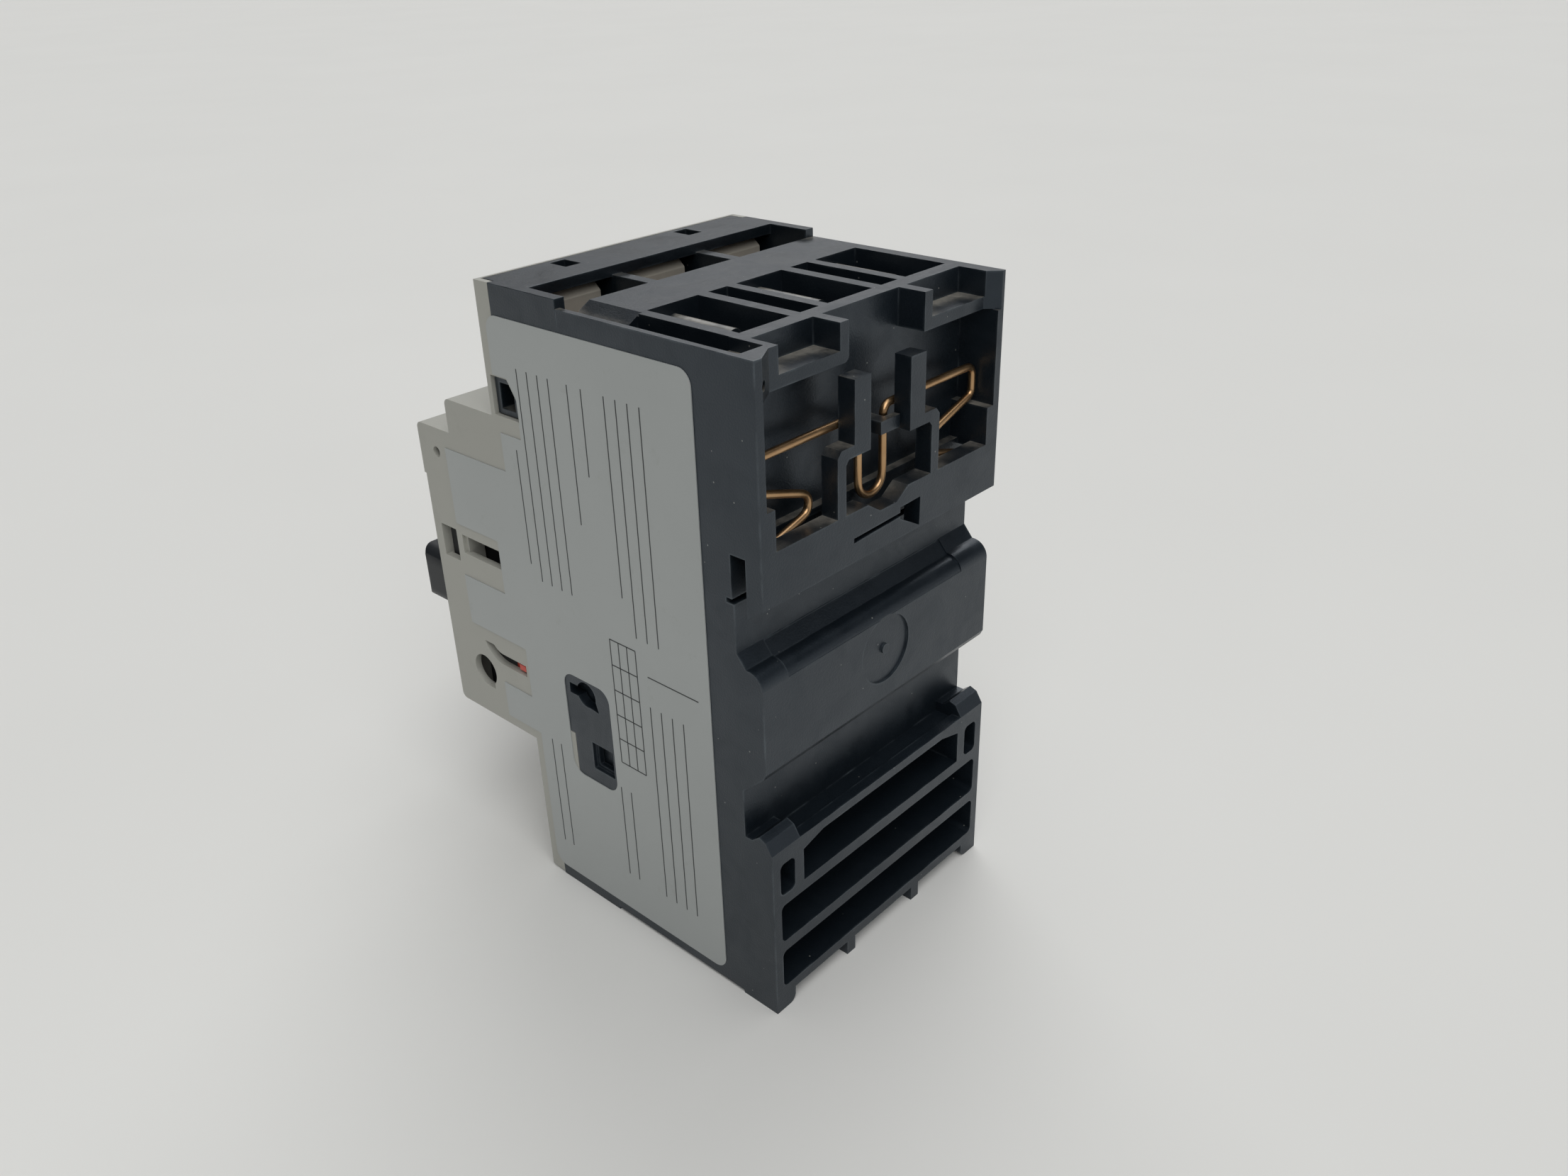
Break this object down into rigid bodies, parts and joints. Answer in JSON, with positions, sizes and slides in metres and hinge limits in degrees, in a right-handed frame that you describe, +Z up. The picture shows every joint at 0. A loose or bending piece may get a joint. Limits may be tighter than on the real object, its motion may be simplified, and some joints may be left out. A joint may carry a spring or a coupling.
{
  "type": "motor protection breaker",
  "caption": "Rail-mounted motor protection breaker with a deep moulded body, stepped front cover, twist knob, setting dial, wire-spring rail catch and screw clamp terminals.",
  "frame": {"origin": "middle of the rail seat: centre line of the 35 mm rail, on the plane where its flanges lie", "axes": "+X to the right seen from the front, along the rail; +Y to the rear, towards the rail; +Z up as pictured"},
  "size_m": [0.0451, 0.0822, 0.09],
  "materials": {
    "base_black": "fine-grained moulded",
    "frame_black": "fine-grained moulded",
    "cover_grey": "fine-grained moulded",
    "label_silver": "satin printed film",
    "spring_gold": "yellow passivated wire",
    "knob_black": "fine-grained moulded",
    "steel": "stamped and zinc plated",
    "dial_ivory": "moulded",
    "button_red": "moulded",
    "flag_red": "moulded",
    "inner_black": "moulded",
    "carrier_ivory": "thermoset moulded",
    "spring_steel": "drawn wire",
    "trip_tan": "thermoset moulded",
    "sleeve_white": "woven glass sleeve",
    "copper": "stamped copper",
    "tinned_steel": "tin plated",
    "screw_steel": "zinc plated",
    "chute_fibre": "vulcanised fibre and steel plates",
    "coil_copper": "enamelled winding",
    "bimetal_strip": "rolled strip"
  },
  "bodies": {
    "housing": {"rear_base": "base_black", "terminal_frame": "frame_black", "front_cover": "cover_grey", "label_film": "label_silver", "rail_spring": "spring_gold", "mechanism_plate": "inner_black", "lock_frame": "steel", "contact_springs": "spring_steel", "heaters": "sleeve_white", "line_terminal_1": "copper", "line_terminal_2": "copper", "line_terminal_3": "copper", "load_terminal_1": "copper", "load_terminal_2": "copper", "load_terminal_3": "copper", "lower_contact_1": "copper", "lower_contact_2": "copper", "lower_contact_3": "copper", "arc_chute_1": "chute_fibre", "arc_chute_2": "chute_fibre", "arc_chute_3": "chute_fibre", "trip_coil_1": "coil_copper", "trip_coil_2": "coil_copper", "trip_coil_3": "coil_copper", "yoke_1": "steel", "yoke_2": "steel", "yoke_3": "steel", "bimetal_1": "bimetal_strip", "bimetal_2": "bimetal_strip", "bimetal_3": "bimetal_strip"},
    "knob_unit": {"knob": "knob_black", "knob_shaft": "steel"},
    "dial_unit": {"setting_dial": "dial_ivory"},
    "test_unit": {"test_button": "button_red"},
    "flag_unit": {"trip_indicator": "flag_red"},
    "lever_unit": {"toggle_lever": "steel"},
    "carrier_unit": {"contact_carrier": "carrier_ivory", "bridge_1": "copper", "bridge_2": "copper", "bridge_3": "copper"},
    "trip_unit": {"trip_bar": "trip_tan"},
    "striker_unit_1": {"striker_1": "steel"},
    "striker_unit_2": {"striker_2": "steel"},
    "striker_unit_3": {"striker_3": "steel"},
    "line_clamp_unit_1": {"line_clamp_1": "tinned_steel", "line_screw_1": "screw_steel"},
    "line_clamp_unit_2": {"line_clamp_2": "tinned_steel", "line_screw_2": "screw_steel"},
    "line_clamp_unit_3": {"line_clamp_3": "tinned_steel", "line_screw_3": "screw_steel"},
    "load_clamp_unit_1": {"load_clamp_1": "tinned_steel", "load_screw_1": "screw_steel"},
    "load_clamp_unit_2": {"load_clamp_2": "tinned_steel", "load_screw_2": "screw_steel"},
    "load_clamp_unit_3": {"load_clamp_3": "tinned_steel", "load_screw_3": "screw_steel"}
  },
  "joints": [
    {"name": "knob_turn", "type": "hinge", "parent": "housing", "child": "knob_unit", "pos_m": [0, -0.0596, -0.0091], "axis": [0, 1, 0], "range_deg": [0, 90]},
    {"name": "contact_close", "type": "slide", "parent": "housing", "child": "carrier_unit", "axis": [0, -1, 0], "range_m": [0, 0.00298]},
    {"name": "lever_swing", "type": "hinge", "parent": "housing", "child": "lever_unit", "pos_m": [0, -0.0496, 0.005], "axis": [1, 0, 0], "range_deg": [0, 16]},
    {"name": "dial_turn", "type": "hinge", "parent": "housing", "child": "dial_unit", "pos_m": [0.013, -0.0576, 0.0095], "axis": [0, 1, 0], "range_deg": [0, 270]},
    {"name": "test_push", "type": "slide", "parent": "housing", "child": "test_unit", "axis": [0, 1, 0], "range_m": [0, 0.002], "stiffness_N_per_m": 300, "springref_m": -0.001},
    {"name": "trip_push", "type": "slide", "parent": "housing", "child": "trip_unit", "axis": [1, 0, 0], "range_m": [0, 0.002], "stiffness_N_per_m": 200, "springref_m": -0.001},
    {"name": "flag_move", "type": "slide", "parent": "housing", "child": "flag_unit", "axis": [0, -1, 0], "range_m": [0, 0.004]},
    {"name": "striker_1_push", "type": "slide", "parent": "housing", "child": "striker_unit_1", "axis": [0, -1, 0], "range_m": [0, 0.0025], "stiffness_N_per_m": 200, "springref_m": -0.001},
    {"name": "striker_2_push", "type": "slide", "parent": "housing", "child": "striker_unit_2", "axis": [0, -1, 0], "range_m": [0, 0.0025], "stiffness_N_per_m": 200, "springref_m": -0.001},
    {"name": "striker_3_push", "type": "slide", "parent": "housing", "child": "striker_unit_3", "axis": [0, -1, 0], "range_m": [0, 0.0025], "stiffness_N_per_m": 200, "springref_m": -0.001},
    {"name": "line_clamp_1_close", "type": "slide", "parent": "housing", "child": "line_clamp_unit_1", "axis": [0, 1, 0], "range_m": [0, 0.004]},
    {"name": "line_clamp_2_close", "type": "slide", "parent": "housing", "child": "line_clamp_unit_2", "axis": [0, 1, 0], "range_m": [0, 0.004]},
    {"name": "line_clamp_3_close", "type": "slide", "parent": "housing", "child": "line_clamp_unit_3", "axis": [0, 1, 0], "range_m": [0, 0.004]},
    {"name": "load_clamp_1_close", "type": "slide", "parent": "housing", "child": "load_clamp_unit_1", "axis": [0, 1, 0], "range_m": [0, 0.004]},
    {"name": "load_clamp_2_close", "type": "slide", "parent": "housing", "child": "load_clamp_unit_2", "axis": [0, 1, 0], "range_m": [0, 0.004]},
    {"name": "load_clamp_3_close", "type": "slide", "parent": "housing", "child": "load_clamp_unit_3", "axis": [0, 1, 0], "range_m": [0, 0.004]}
  ],
  "couplings": [
    {"joint": "knob_turn", "follows": "contact_close", "rad_per_m": 527},
    {"joint": "lever_swing", "follows": "contact_close", "rad_per_m": 93.6},
    {"joint": "flag_move", "follows": "trip_push", "ratio": 2}
  ]
}
